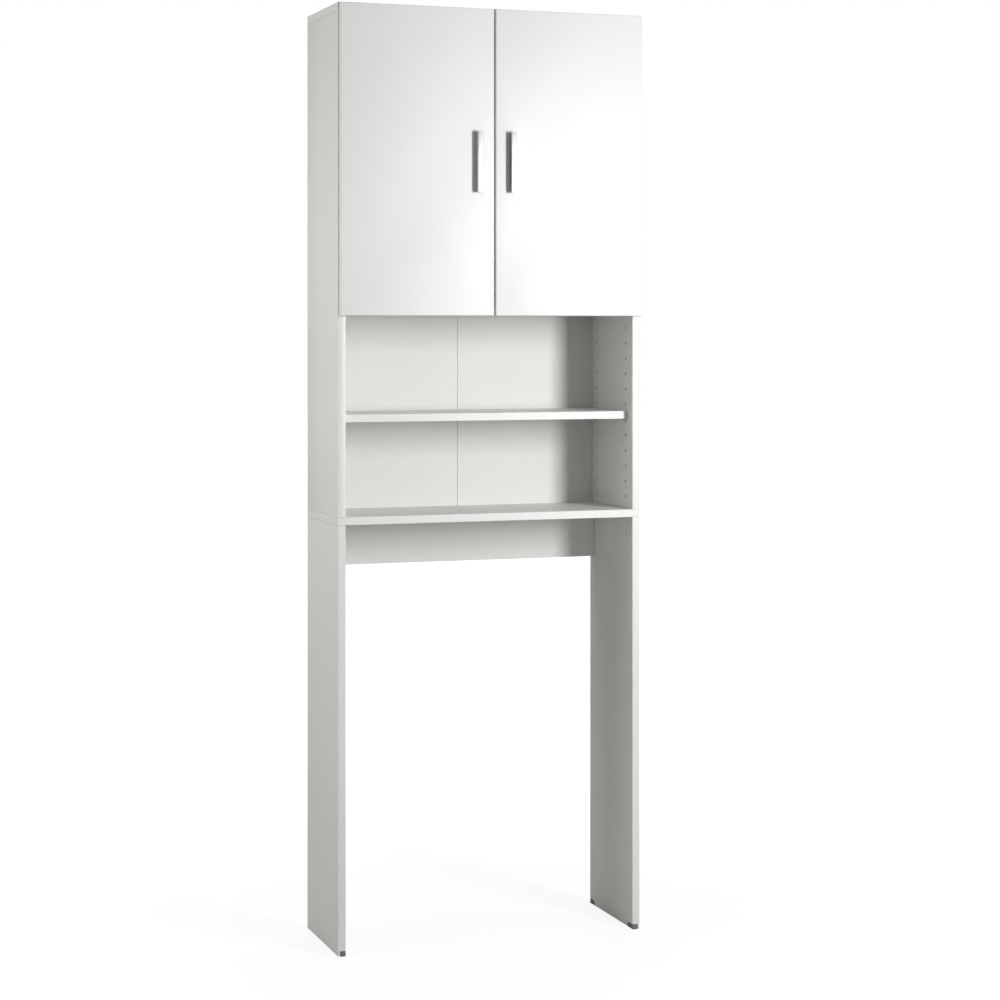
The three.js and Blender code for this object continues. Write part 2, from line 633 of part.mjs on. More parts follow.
// The link is a bowed strip with a knuckle on the arm's pin. Its tip stands free in the cup.
function hingeLink(side, z) {
  const pin = planPoint(side, LINK_PIN_IN, -LINK_PIN_OUT);
  const tip = planPoint(side, LINK_END_IN, -LINK_END_OUT);
  const along = pin.clone().sub(tip).normalize();
  const bow = new THREE.Vector2(along.y, -along.x).multiplyScalar(-side);
  const length = pin.distanceTo(tip);
  const place = ([run, rise]) =>
    tip.clone().addScaledVector(along, run * length).addScaledVector(bow, rise * LINK_BOW);
  const curve = new THREE.SplineCurve(LINK_BOW_SHARES.map(place));
  const rims = [[], []];
  for (let step = 0; step <= SEGMENTS_LINK; step += 1) {
    const share = step / SEGMENTS_LINK;
    const middle = curve.getPoint(share);
    const tangent = curve.getTangent(share);
    const across = new THREE.Vector2(-tangent.y, tangent.x).multiplyScalar(LINK_SHEET / 2);
    rims[0].push(middle.clone().add(across));
    rims[1].unshift(middle.clone().sub(across));
  }
  const strip = lying([...rims[0], ...rims[1]], z, LINK_WIDTH);
  const knuckle = upright(pin, LINK_KNUCKLE_RADIUS, z, LINK_KNUCKLE_WIDTH);
  const bore = upright(pin, LINK_BORE_RADIUS, z, LINK_KNUCKLE_WIDTH + OVERRUN);
  return cut(join([strip, knuckle, upright(tip, LINK_TIP_RADIUS, z, LINK_WIDTH)]), [bore]);
}

// The arm is a pressed channel, open towards the side panel. Its nose dips into the cup of the closed door.
function armProfile() {
  const pinHeight = LINK_PIN_IN - BOARD;
  return [
    [ARM_LIFT, ARM_NECK_BACK],
    [pinHeight - ARM_EYE_RADIUS, -LINK_PIN_OUT],
    [pinHeight + ARM_EYE_RADIUS, -LINK_PIN_OUT],
    [ARM_NOSE_HEIGHT, -ARM_WEB_END],
    [ARM_NOSE_HEIGHT, ARM_NECK_FRONT],
    [ARM_HEIGHT, ARM_NECK_BACK],
    [ARM_HEIGHT, ARM_LENGTH - ARM_TAIL_CHAMFER],
    [ARM_HEIGHT - ARM_TAIL_CHAMFER, ARM_LENGTH],
    [ARM_LIFT, ARM_LENGTH],
  ];
}

function armHollow() {
  const mouth = -LINK_PIN_OUT - ARM_EYE_RADIUS - OVERRUN;
  const inset = ARM_SHEET / 2;
  return [
    [-OVERRUN, mouth],
    [ARM_NOSE_HEIGHT + OVERRUN, mouth],
    [ARM_NOSE_HEIGHT + OVERRUN, -ARM_WEB_END],
    [ARM_NOSE_HEIGHT - ARM_SHEET, -ARM_WEB_END],
    [ARM_NOSE_HEIGHT - ARM_SHEET, ARM_NECK_FRONT - inset],
    [ARM_HEIGHT - ARM_SHEET, ARM_NECK_BACK - inset],
    [ARM_HEIGHT - ARM_SHEET, ARM_LENGTH - ARM_TAIL_CHAMFER - inset],
    [ARM_HEIGHT - ARM_TAIL_CHAMFER - inset, ARM_LENGTH - ARM_SHEET],
    [-OVERRUN, ARM_LENGTH - ARM_SHEET],
  ];
}

function hingeArm(side, z) {
  const pin = planPoint(side, LINK_PIN_IN, -LINK_PIN_OUT);
  const outline = (profile) => profile.map(([height, behind]) => planPoint(side, BOARD + height, behind));
  const channel = lying(outline(armProfile()), z, ARM_WIDTH);
  const skin = join([channel, upright(pin, ARM_EYE_RADIUS, z, ARM_WIDTH)]);
  const hollow = lying(outline(armHollow()), z, ARM_WIDTH - 2 * ARM_SHEET);
  const top = inside(side, BOARD + ARM_HEIGHT - ARM_SHEET / 2);
  const heads = ARM_SCREWS.map((back) =>
    screwHead(at(top, FRONT_Y + back, z), at(-side, 0, 0), ARM_SCREW_RADIUS, ARM_SCREW_HEIGHT),
  );
  const linkPin = upright(pin, LINK_PIN_RADIUS, z, ARM_WIDTH - ARM_SHEET);
  return join([cut(skin, [hollow]), linkPin, ...heads]);
}

// The mounting plate has two wings, screwed into the front hole row, and a rail that the arm straddles.
function hingePlate(side, z) {
  const face = BOARD + SEAM;
  const y = FRONT_Y + FRONT_ROW;
  const reach = HOLE_SPACING / 2;
  const wings = new THREE.Shape();
  wings.absarc(y, z + reach, WING_RADIUS, 0, Math.PI, false);
  wings.absarc(y, z - reach, WING_RADIUS, Math.PI, 2 * Math.PI, false);
  const baseX = Math.min(inside(side, face), inside(side, face + PLATE_SHEET));
  const base = solidOf(plate(wings, PLATE_SHEET, "x").translate(baseX, 0, 0));
  const railHalf = ARM_WIDTH / 2 - ARM_SHEET - SEAM;
  const railTop = BOARD + ARM_HEIGHT - ARM_SHEET - SEAM;
  const rail = board(
    at(inside(side, face), FRONT_Y + RAIL_FRONT, z - railHalf),
    at(inside(side, railTop), FRONT_Y + RAIL_BACK, z + railHalf),
    "y",
    0,
  );
  const seatX = inside(side, face + PLATE_SHEET / 2);
  const tipX = inside(side, BOARD - PLATE_SCREW_REACH);
  const screws = [z + reach, z - reach].flatMap((level) => [
    screwHead(at(seatX, y, level), at(-side, 0, 0), ARM_SCREW_RADIUS, ARM_SCREW_HEIGHT + PLATE_SHEET / 2),
    rod(PLATE_SCREW_RADIUS, at(tipX, y, level), at(seatX, y, level), SEGMENTS_HOLE),
  ]);
  return join([base, rail, ...screws]);
}

for (const [name, side] of Object.entries(SIDES)) {
  for (const [place, z] of Object.entries(HINGES)) {
    add(`${name}_${place}_hinge_cup`, hingeCup(side, z), ZINC);
    add(`${name}_${place}_hinge_link`, hingeLink(side, z), ZINC);
    add(`${name}_${place}_hinge_arm`, hingeArm(side, z), ZINC);
    add(`${name}_${place}_hinge_plate`, hingePlate(side, z), ZINC);
  }
}

export default cabinet;
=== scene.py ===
"""White over-washer cupboard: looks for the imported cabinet. Metres, +Z up, the front faces -Y."""
import math

import bmesh
import bpy
from mathutils import Matrix, Vector


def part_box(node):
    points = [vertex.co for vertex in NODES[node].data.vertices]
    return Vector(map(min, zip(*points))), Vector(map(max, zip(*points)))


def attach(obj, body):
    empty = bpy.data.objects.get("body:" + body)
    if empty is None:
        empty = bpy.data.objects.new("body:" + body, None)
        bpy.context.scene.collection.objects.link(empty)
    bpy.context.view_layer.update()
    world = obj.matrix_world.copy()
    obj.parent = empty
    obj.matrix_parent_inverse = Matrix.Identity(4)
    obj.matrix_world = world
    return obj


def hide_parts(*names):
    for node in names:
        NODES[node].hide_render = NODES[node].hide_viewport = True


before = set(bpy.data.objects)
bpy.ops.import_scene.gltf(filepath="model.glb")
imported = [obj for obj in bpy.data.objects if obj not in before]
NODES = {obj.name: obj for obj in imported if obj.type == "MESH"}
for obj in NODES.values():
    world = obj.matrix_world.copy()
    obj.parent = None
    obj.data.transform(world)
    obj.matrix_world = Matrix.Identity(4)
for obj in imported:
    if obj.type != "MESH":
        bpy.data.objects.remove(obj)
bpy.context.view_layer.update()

MM = 0.001
SIDES = {"left": -1, "right": 1}  # each side's direction along X
HINGES = ("upper", "lower")
SAME_PLACE = 1e-7  # two places this close are one
WELD = 1e-6  # corners this close are welded

# How every finish is built: softened edges, a noise's usual range, and a colour mix's sockets
EDGE_SOFTENING = 0.7 * MM
SMALL_SOFTENING = 0.3 * MM
DRILLED_SOFTENING = 0.1 * MM
BEVEL_SAMPLES = 6
NOISE_RANGE = (0.3, 0.7)
SHARE_SOCKET = 0
UNDER_SOCKET = 6
OVER_SOCKET = 7
MIXED_SOCKET = 2


class Finish:
    """A node material for one of the cabinet's surfaces, with its patterns on object coordinates."""

    def __init__(self, name):
        self.material = bpy.data.materials.new(name)
        self.material.use_nodes = True
        self.tree = self.material.node_tree
        self.tree.nodes.clear()
        self.surface = self.node("ShaderNodeBsdfPrincipled")
        self.output = self.node("ShaderNodeOutputMaterial")
        self.join(self.surface, "BSDF", self.output, "Surface")
        self.place = self.node("ShaderNodeTexCoord")

    def node(self, kind, **settings):
        """A new node. A setting goes to the input of its name, or else to the node itself."""
        made = self.tree.nodes.new(kind)
        for key, value in settings.items():
            if key in made.inputs:
                made.inputs[key].default_value = value
            else:
                setattr(made, key, value)
        return made

    def join(self, source, output, target, socket):
        """Links an output to a socket, and gives the target."""
        self.tree.links.new(source.outputs[output], target.inputs[socket])
        return target

    def stretched(self, scale):
        """Object coordinates, scaled along each axis."""
        mapping = self.node("ShaderNodeMapping")
        mapping.inputs["Scale"].default_value = scale
        return self.join(self.place, "Object", mapping, "Vector")

    def noise(self, scale, detail=2.0, stretch=(1, 1, 1)):
        """A noise pattern."""
        texture = self.node("ShaderNodeTexNoise", Scale=scale, Detail=detail)
        return self.join(self.stretched(stretch), "Vector", texture, "Vector")

    def moved(self, source, output, old_range, new_range, **settings):
        """A value moved from one range to another."""
        ramp = self.node("ShaderNodeMapRange", **settings)
        for end, old, new in zip(("Min", "Max"), old_range, new_range):
            ramp.inputs[f"From {end}"].default_value = old
            ramp.inputs[f"To {end}"].default_value = new
        return self.join(source, output, ramp, "Value")

    def tones(self, texture, dark, light, output="Fac", low=0.35, high=0.65):
        """A ramp from a dark to a light colour over a pattern."""
        ramp = self.node("ShaderNodeValToRGB")
        ramp.color_ramp.elements[0].position = low
        ramp.color_ramp.elements[0].color = (*dark, 1)
        ramp.color_ramp.elements[1].position = high
        ramp.color_ramp.elements[1].color = (*light, 1)
        return self.join(texture, output, ramp, "Fac")

    def blend(self, share, under, over):
        """A ramp's colour with another ramp, or a plain colour, laid over it where the share is 1."""
        mix = self.node("ShaderNodeMix", data_type="RGBA")
        self.join(share, "Value", mix, SHARE_SOCKET)
        self.join(under, "Color", mix, UNDER_SOCKET)
        if isinstance(over, tuple):
            mix.inputs[OVER_SOCKET].default_value = (*over, 1)
        else:
            self.join(over, "Color", mix, OVER_SOCKET)
        return mix

    def paint(self, colour, output="Color"):
        """Colours the surface."""
        self.join(colour, output, self.surface, "Base Color")

    def rough(self, pattern, low, high):
        """Makes the surface's roughness follow a pattern."""
        moved = self.moved(pattern, "Fac", NOISE_RANGE, (low, high))
        self.join(moved, "Result", self.surface, "Roughness")

    def grain(self, patterns, edge=EDGE_SOFTENING):
        """Bumps from (pattern, depth in mm), over softened edges."""
        normal = self.node("ShaderNodeBevel", samples=BEVEL_SAMPLES, Radius=edge)
        for pattern, depth in patterns:
            bump = self.node("ShaderNodeBump", Strength=1.0, Distance=depth * MM)
            self.join(pattern, "Fac", bump, "Height")
            normal = self.join(normal, "Normal", bump, "Normal")
        self.join(normal, "Normal", self.surface, "Normal")


# Edge band: its thickness, the width of its glue line, and the line's tone as a share of the board's
BAND_THICKNESS = 0.5 * MM
GLUE_LINE = 0.14 * MM
GLUE_TONE = 0.62


def edge_band(finish, tone, front, line):
    """A faint glue line one band's thickness behind a board's front edge."""
    parts = finish.join(finish.place, "Object", finish.node("ShaderNodeSeparateXYZ"), "Vector")
    away = finish.join(parts, "Y", finish.node("ShaderNodeMath", operation="SUBTRACT"), 0)
    away.inputs[1].default_value = front + BAND_THICKNESS
    size = finish.join(away, "Value", finish.node("ShaderNodeMath", operation="ABSOLUTE"), 0)
    near = finish.join(size, "Value", finish.node("ShaderNodeMath", operation="LESS_THAN"), 0)
    near.inputs[1].default_value = GLUE_LINE / 2
    return finish.blend(near, tone, line)


def shaded(colour, share):
    """A colour darkened to a share of itself."""
    return tuple(channel * share for channel in colour)


PEARL_TONE = 0.975


def melamine(name, light, front=None):
    """White melamine with a fine pearl grain, and a glue line where the board has a front edge band."""
    finish = Finish(name)
    tone = finish.tones(finish.noise(scale=3.1, detail=4.0), shaded(light, PEARL_TONE), light)
    if front is None:
        finish.paint(tone)
    else:
        finish.paint(edge_band(finish, tone, front, shaded(light, GLUE_TONE)), MIXED_SOCKET)
    finish.rough(finish.noise(scale=19.0, detail=3.0), low=0.40, high=0.44)
    pearls = finish.noise(scale=820.0, detail=3.0)
    orange_peel = finish.noise(scale=150.0, detail=2.0)
    finish.grain([(pearls, 0.03), (orange_peel, 0.035)])
    return finish.material


UPRIGHT_FIBRES = (1, 1, 0.25)
FACES_THE_WALL = 0.5


def fibreboard(name):
    """Thin back board: white lacquer inside, bare brown fibre on the wall side."""
    finish = Finish(name)
    lacquer = finish.noise(scale=4.0, detail=3.0)
    white = finish.tones(lacquer, dark=(0.72, 0.717, 0.705), light=(0.745, 0.742, 0.73))
    fibre = finish.noise(scale=420.0, detail=6.0, stretch=UPRIGHT_FIBRES)
    brown = finish.tones(fibre, dark=(0.22, 0.142, 0.083), light=(0.38, 0.255, 0.155))
    parts = finish.join(finish.place, "Normal", finish.node("ShaderNodeSeparateXYZ"), "Vector")
    behind = finish.join(parts, "Y", finish.node("ShaderNodeMath", operation="GREATER_THAN"), 0)
    behind.inputs[1].default_value = FACES_THE_WALL
    finish.paint(finish.blend(behind, white, brown), MIXED_SOCKET)
    finish.rough(fibre, low=0.44, high=0.56)
    finish.grain([(fibre, 0.03), (finish.noise(scale=60.0, detail=2.0), 0.05)])
    return finish.material


def chipboard(name):
    """Bare chips inside a drilled hole."""
    finish = Finish(name)
    chips = finish.join(finish.place, "Object", finish.node("ShaderNodeTexVoronoi", Scale=900.0), "Vector")
    finish.paint(finish.tones(chips, (0.13, 0.085, 0.045), (0.42, 0.31, 0.19), "Distance", low=0.1, high=0.7))
    finish.surface.inputs["Roughness"].default_value = 0.85
    finish.grain([(finish.noise(scale=1400.0, detail=4.0), 0.15)], DRILLED_SOFTENING)
    return finish.material


SMOOTHER = 0.05
ROUGHER = 0.06
SCRATCH_DEPTH = 0.012


def metal(name, dark, light, rough, streak):
    """Plated or brushed metal, with scratches that run along the axes where the streak is smallest."""
    finish = Finish(name)
    scratch = finish.noise(scale=700.0, detail=5.0, stretch=streak)
    cloud = finish.noise(scale=45.0, detail=3.0)
    finish.paint(finish.tones(scratch, dark, light))
    finish.surface.inputs["Metallic"].default_value = 1.0
    finish.rough(cloud, rough - SMOOTHER, rough + ROUGHER)
    finish.grain([(scratch, SCRATCH_DEPTH)], SMALL_SOFTENING)
    return finish.material


def plastic(name, dark, light, rough, speckle_depth=0.04):
    """Moulded plastic with a fine speckle."""
    finish = Finish(name)
    finish.paint(finish.tones(finish.noise(scale=35.0, detail=4.0), dark, light))
    speckle = finish.noise(scale=900.0, detail=3.0)
    finish.rough(speckle, rough - SMOOTHER, rough + ROUGHER)
    finish.grain([(speckle, speckle_depth)], SMALL_SOFTENING)
    return finish.material


# Finishes of this cabinet
CARCASS_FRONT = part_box("bottom_board")[0].y
SHELF_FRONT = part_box("niche_shelf")[0].y
WARM_WHITE = (0.79, 0.787, 0.775)
DOOR_TONE = (0.80, 0.80, 0.792)
PULL_STREAK = (1, 1, 0.02)
HINGE_STREAK = (1, 0.3, 0.3)
EVEN_STREAK = (0.6, 0.6, 0.6)

BOARD_WHITE = melamine("board_melamine", WARM_WHITE, CARCASS_FRONT)
SHELF_WHITE = melamine("shelf_melamine", WARM_WHITE, SHELF_FRONT)
DOOR_WHITE = melamine("door_melamine", DOOR_TONE)
BACK_WHITE = fibreboard("back_fibreboard")
CHIPS = chipboard("bare_chipboard")
STRIP_WHITE = plastic("strip_plastic", (0.74, 0.74, 0.73), (0.78, 0.78, 0.77), rough=0.36)
CAP_WHITE = plastic("cap_plastic", (0.80, 0.80, 0.79), (0.84, 0.84, 0.83), rough=0.32)
BUFFER_CLEAR = plastic("buffer_gel", (0.66, 0.68, 0.68), (0.72, 0.73, 0.73), rough=0.2)
GLIDE_GREY = plastic("glide_plastic", (0.16, 0.16, 0.163), (0.21, 0.21, 0.213), rough=0.5, speckle_depth=0.08)
# Two copies of one satin metal for the pull, split by which way a face looks. The front's copy is a little
# darker: painted shade that tempers the key lamp's highlight. The sides' copy is a little lighter: painted
# light that lifts the shaded flank.
HANDLE_FRONT_DIMMED = metal("handle_satin_front_dimmed", (0.48, 0.48, 0.474), (0.56, 0.56, 0.553), 0.50, PULL_STREAK)
HANDLE_SIDE_LIFTED = metal("handle_satin_side_lifted", (0.50, 0.50, 0.494), (0.60, 0.60, 0.592), 0.40, PULL_STREAK)
NICKEL = metal("hinge_nickel", (0.56, 0.55, 0.53), (0.68, 0.67, 0.65), 0.24, HINGE_STREAK)
ZINC = metal("fitting_zinc", (0.50, 0.51, 0.53), (0.64, 0.65, 0.67), 0.30, EVEN_STREAK)

# Shapes: what the cabinet's pieces are made with
SMOOTH_UNDER = 35.0
FLAT_WITHIN = 1.0


def piece(name, shape, finishes, body, node=None, smooth_under=SMOOTH_UNDER):
    """Turns a bmesh into a piece that rides on a body, and may stand for a CAD node."""
    mesh = bpy.data.meshes.new(name)
    shape.to_mesh(mesh)
    shape.free()
    for finish in finishes:
        mesh.materials.append(finish)
    mesh.shade_smooth()
    mesh.set_sharp_from_angle(angle=math.radians(smooth_under))
    made = bpy.data.objects.new(name, mesh)
    bpy.context.scene.collection.objects.link(made)
    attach(made, body)
    if node:
        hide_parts(node)


def block(low, high):
    """A plain block between two corners."""
    made = bmesh.new()
    bmesh.ops.create_cube(made, size=1.0)
    low, high = Vector(low), Vector(high)
    bmesh.ops.scale(made, vec=high - low, verts=made.verts)
    bmesh.ops.translate(made, vec=(low + high) / 2, verts=made.verts)
    return made


def soften(made, width, segments, chosen):
    """Rounds the chosen edges."""
    edges = [edge for edge in made.edges if chosen(edge)]
    bmesh.ops.bevel(
        made, geom=edges, offset=width, offset_type="OFFSET", segments=segments,
        profile=0.5, affect="EDGES", material=-1, clamp_overlap=True,
    )
    return made


def round_bar(radius, start, end, segments, end_radius=None):
    """A closed bar or disc from start to end."""
    made = bmesh.new()
    start, end = Vector(start), Vector(end)
    along = end - start
    bmesh.ops.create_cone(
        made, cap_ends=True, segments=segments, radius1=radius,
        radius2=radius if end_radius is None else end_radius, depth=along.length,
    )
    turn = Vector((0, 0, 1)).rotation_difference(along).to_matrix().to_4x4()
    bmesh.ops.transform(made, matrix=Matrix.Translation((start + end) / 2) @ turn, verts=made.verts)
    return made


def gathered(parts):
    """One bmesh with all the parts in it."""
    whole = bmesh.new()
    for part in parts:
        mesh = bpy.data.meshes.new("part")
        part.to_mesh(mesh)
        part.free()
        whole.from_mesh(mesh)
        bpy.data.meshes.remove(mesh)
    return whole


def carved(solid, tools):
    """The solid after the tools are cut from it."""
    scratch = []
    for name, source in (("solid", solid), ("tools", gathered(tools))):
        mesh = bpy.data.meshes.new(name)
        source.to_mesh(mesh)
        source.free()
        thing = bpy.data.objects.new(name, mesh)
        bpy.context.scene.collection.objects.link(thing)
        scratch.append(thing)
    blank, cutter = scratch
    cut = blank.modifiers.new("cut", "BOOLEAN")
    cut.operation = "DIFFERENCE"
    cut.solver = "EXACT"
    cut.object = cutter
    bpy.context.view_layer.update()
    result = bmesh.new()
    evaluated = blank.evaluated_get(bpy.context.evaluated_depsgraph_get())
    result.from_mesh(evaluated.to_mesh())
    evaluated.to_mesh_clear()
    for thing in scratch:
        mesh = thing.data
        bpy.data.objects.remove(thing)
        bpy.data.meshes.remove(mesh)
    bmesh.ops.remove_doubles(result, verts=result.verts, dist=WELD)
    return result


def copy_of(node):
    """A welded copy of a CAD node's mesh, with its flat faces whole."""
    made = bmesh.new()
    made.from_mesh(NODES[node].data)
    bmesh.ops.remove_doubles(made, verts=made.verts, dist=WELD)
    bmesh.ops.dissolve_limit(
        made, angle_limit=math.radians(FLAT_WITHIN), use_dissolve_boundaries=False,
        verts=made.verts, edges=made.edges,
    )
    return made


def big_face_edges(axis, low, high):
    """Chooses the edges that lie in the two faces square to an axis."""
    def chosen(edge):
        first, second = [vertex.co[axis] for vertex in edge.verts]
        level = abs(first - second) < SAME_PLACE
        return level and min(abs(first - low[axis]), abs(first - high[axis])) < SAME_PLACE
    return chosen


def show_chips(board, low, high):
    """Gives the second finish to the drilled faces, whose middles lie between the two corners."""
    for face in board.faces:
        middle = face.calc_center_median()
        if all(least < value < most for least, value, most in zip(low, middle, high)):
            face.material_index = 1


# Side panels: shelf-pin holes in two rows, and the groove that takes the back
HOLE_SPACING = 32 * MM
FIRST_HOLE = 25 * MM
HOLE_RADIUS = 2.5 * MM
HOLE_DEPTH = 11 * MM
HOLE_FACETS = 20
FRONT_ROW = 37 * MM
ROW_SPACING = 160 * MM
GROOVE_DEPTH = 5 * MM
PLAY = 0.3 * MM
BANDED_EDGE = 0.8 * MM
BANDED_EDGE_STEPS = 3
SKIN = 0.01 * MM  # a face deeper than this isn't on the board's surface
CLEAR_OF_LONG_EDGES = 5 * MM
CLEAR_OF_ENDS = 1 * MM


def side_panel(name, side):
    """A side panel with a groove for the back, and pin holes except behind the fixed shelf."""
    node = f"{name}_side_panel"
    low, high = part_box(node)
    panel = soften(block(low, high), BANDED_EDGE, BANDED_EDGE_STEPS, big_face_edges(0, low, high))
    inner = low.x if side > 0 else high.x
    back_low, back_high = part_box(f"{name}_back_panel")
    shelf_low, shelf_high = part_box("middle_shelf")
    tools = [block(
        (inner - GROOVE_DEPTH, back_low.y - PLAY, low.z - GROOVE_DEPTH),
        (inner + GROOVE_DEPTH, back_high.y + PLAY, high.z + GROOVE_DEPTH),
    )]
    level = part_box("bottom_board")[1].z + FIRST_HOLE
    while level < high.z - FIRST_HOLE + PLAY:
        if not shelf_low.z - HOLE_RADIUS < level < shelf_high.z + HOLE_RADIUS:
            for row in (low.y + FRONT_ROW, low.y + FRONT_ROW + ROW_SPACING):
                deep = (inner + side * HOLE_DEPTH, row, level)
                mouth = (inner - side * HOLE_DEPTH, row, level)
                tools.append(round_bar(HOLE_RADIUS, deep, mouth, HOLE_FACETS))
        level += HOLE_SPACING
    panel = carved(panel, tools)
    drilled = sorted((inner + side * SKIN, inner + side * (HOLE_DEPTH + SKIN)))
    show_chips(
        panel,
        (drilled[0], low.y + CLEAR_OF_LONG_EDGES, low.z + CLEAR_OF_ENDS),
        (drilled[1], high.y - CLEAR_OF_LONG_EDGES, high.z - CLEAR_OF_ENDS),
    )
    piece(f"{name}_side_board", panel, [BOARD_WHITE, CHIPS], "carcass", node)


for name, side in SIDES.items():
    side_panel(name, side)

# Doors: a cup bore for each hinge, and through holes for the handle's screws
CUP_RADIUS = 17.5 * MM
CUP_RIM_RADIUS = 18.5 * MM
CUP_DEPTH = 11.5 * MM
CUP_FACETS = 48
DOOR_EDGE = 1.5 * MM
DOOR_EDGE_STEPS = 4
SCREW_HOLE_RADIUS = 2.4 * MM
SCREW_HOLE_FACETS = 20
OVERRUN = 5 * MM  # by which the screw holes' drill comes out of the leaf
CLEAR_OF_DOOR_EDGES = 3 * MM
CLEAR_OF_DOOR_FRONT = 2 * MM


def door(name, side):
    """A door leaf with softened edges, drilled for its hinges and its handle."""
    node = f"{name}_door"
    low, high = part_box(node)
    leaf = soften(block(low, high), DOOR_EDGE, DOOR_EDGE_STEPS, big_face_edges(1, low, high))
    tools = []
    for place in HINGES:
        cup_low, cup_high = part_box(f"{name}_{place}_hinge_cup")
        cup_x = cup_high.x - CUP_RIM_RADIUS if side > 0 else cup_low.x + CUP_RIM_RADIUS
        cup_z = (cup_low.z + cup_high.z) / 2
        bottom = (cup_x, high.y - CUP_DEPTH, cup_z)
        tools.append(round_bar(CUP_RADIUS, bottom, (cup_x, high.y + CUP_DEPTH, cup_z), CUP_FACETS))
        screw_low, screw_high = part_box(f"{name}_handle_screw_{place}")
        screw = (screw_low + screw_high) / 2
        start = (screw.x, low.y - OVERRUN, screw.z)
        tools.append(round_bar(
            SCREW_HOLE_RADIUS, start, (screw.x, high.y + OVERRUN, screw.z), SCREW_HOLE_FACETS,
        ))
    leaf = carved(leaf, tools)
    show_chips(
        leaf,
        low + Vector((CLEAR_OF_DOOR_EDGES, CLEAR_OF_DOOR_FRONT, CLEAR_OF_DOOR_EDGES)),
        high - Vector((CLEAR_OF_DOOR_EDGES, SKIN, CLEAR_OF_DOOR_EDGES)),
    )
    piece(f"{name}_door_leaf", leaf, [DOOR_WHITE, CHIPS], f"{name}_door", node)


for name, side in SIDES.items():
    door(name, side)

# Handles: the pull's section and the radii of its corners
HANDLE_WIDTH = 12 * MM
HANDLE_PROJECTION = 15 * MM
HANDLE_FOOT = 4.5 * MM
HANDLE_FLANK = 2.5 * MM
HANDLE_LIP = 2.5 * MM
OUTER_ROUND = 1.2 * MM
LIP_ROUND = 0.9 * MM
RECESS_ROUND = 1.6 * MM
CORNER_STEPS = 6
HANDLE_END = 0.4 * MM
HANDLE_END_STEPS = 3
FRONT_FACING = -0.55  # a face whose normal's y is under this takes the front's copy of the satin metal, a little darker as painted shade against the key lamp's highlight


def handle(name, side):
    """An extruded pull: a foot on the door, a flank away from the other door, and a lip over the fingers."""
    node = f"{name}_handle"
    low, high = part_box(node)
    flank = high.x if side > 0 else low.x
    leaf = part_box(f"{name}_door")[0].y
    foot = leaf - high.y
    inner_lip = HANDLE_PROJECTION - HANDLE_LIP
    corners = [
        (0, foot, 0), (0, HANDLE_PROJECTION, OUTER_ROUND), (HANDLE_WIDTH, HANDLE_PROJECTION, OUTER_ROUND),
        (HANDLE_WIDTH, inner_lip, LIP_ROUND), (HANDLE_FLANK, inner_lip, RECESS_ROUND),
        (HANDLE_FLANK, HANDLE_FOOT, RECESS_ROUND), (HANDLE_WIDTH, HANDLE_FOOT, OUTER_ROUND),
        (HANDLE_WIDTH, foot, 0),
    ]
    pull = bmesh.new()
    ring = [pull.verts.new((flank - side * within, leaf - out, low.z)) for within, out, radius in corners]
    bottom = pull.faces.new(ring)
    grown = bmesh.ops.extrude_face_region(pull, geom=[bottom])["geom"]
    risen = [item for item in grown if isinstance(item, bmesh.types.BMVert)]
    bmesh.ops.translate(pull, vec=(0, 0, high.z - low.z), verts=risen)
    bmesh.ops.recalc_face_normals(pull, faces=pull.faces)

    def upright_at(within, out):
        spot = Vector((flank - side * within, leaf - out))

        def chosen(edge):
            ends = [vertex.co for vertex in edge.verts]
            tall = abs(ends[0].z - ends[1].z) > HANDLE_FOOT
            return tall and all((end.xy - spot).length < WELD for end in ends)
        return chosen

    for within, out, radius in corners:
        if radius:
            soften(pull, radius, CORNER_STEPS, upright_at(within, out))

    def end_rim(edge):
        lower, upper = [vertex.co.z for vertex in edge.verts]
        return abs(lower - upper) < SAME_PLACE

    soften(pull, HANDLE_END, HANDLE_END_STEPS, end_rim)
    pull.normal_update()
    # Front faces keep the darker copy and the rest take the lighter one: painted shade and painted light on
    # one satin metal.
    for face in pull.faces:
        if face.normal.y > FRONT_FACING:
            face.material_index = 1
    piece(f"{name}_pull", pull, [HANDLE_FRONT_DIMMED, HANDLE_SIDE_LIFTED], f"{name}_door", node)


for name, side in SIDES.items():
    handle(name, side)

# Fittings: softened copies of the CAD's hinges, screws, buffers, wall angles, glides and pins
FITTING_EDGE = 0.2 * MM
FITTING_EDGE_STEPS = 2
BRACKET_EDGE = 0.4 * MM
GLIDE_EDGE = 0.5 * MM
MOULDED_EDGE_STEPS = 3
CORNER_OVER = 38.0
FITTING_SMOOTH_UNDER = 40.0
SLIVER = 2e-6  # edges shorter than this are dissolved


def softened_copy(node, name, finish, body, width=FITTING_EDGE, segments=FITTING_EDGE_STEPS):
    """A CAD node's own shape, with its corners rounded and no face left without area."""
    copy = copy_of(node)

    def corner(edge):
        return len(edge.link_faces) == 2 and edge.calc_face_angle(0) > math.radians(CORNER_OVER)

    soften(copy, width, segments, corner)
    bmesh.ops.dissolve_degenerate(copy, dist=SLIVER, edges=copy.edges)
    piece(name, copy, [finish], body, node, FITTING_SMOOTH_UNDER)


def door_fittings(name, place):
    """A hinge's four pieces, and the handle screw and the buffer of the same height."""
    leaf = f"{name}_door"
    stem = f"{name}_{place}_hinge"
    screw = f"{name}_handle_screw_{place}"
    buffer = f"{name}_door_buffer_{place}"
    softened_copy(f"{stem}_arm", f"{stem}_channel", NICKEL, "carcass")
    softened_copy(f"{stem}_plate", f"{stem}_mount", NICKEL, "carcass")
    softened_copy(f"{stem}_link", f"{stem}_strap", NICKEL, f"{stem}_link")
    softened_copy(f"{stem}_cup", f"{stem}_pot", NICKEL, leaf)
    softened_copy(screw, f"{name}_pull_screw_{place}", ZINC, leaf)
    softened_copy(buffer, f"{name}_door_bumper_{place}", BUFFER_CLEAR, leaf)


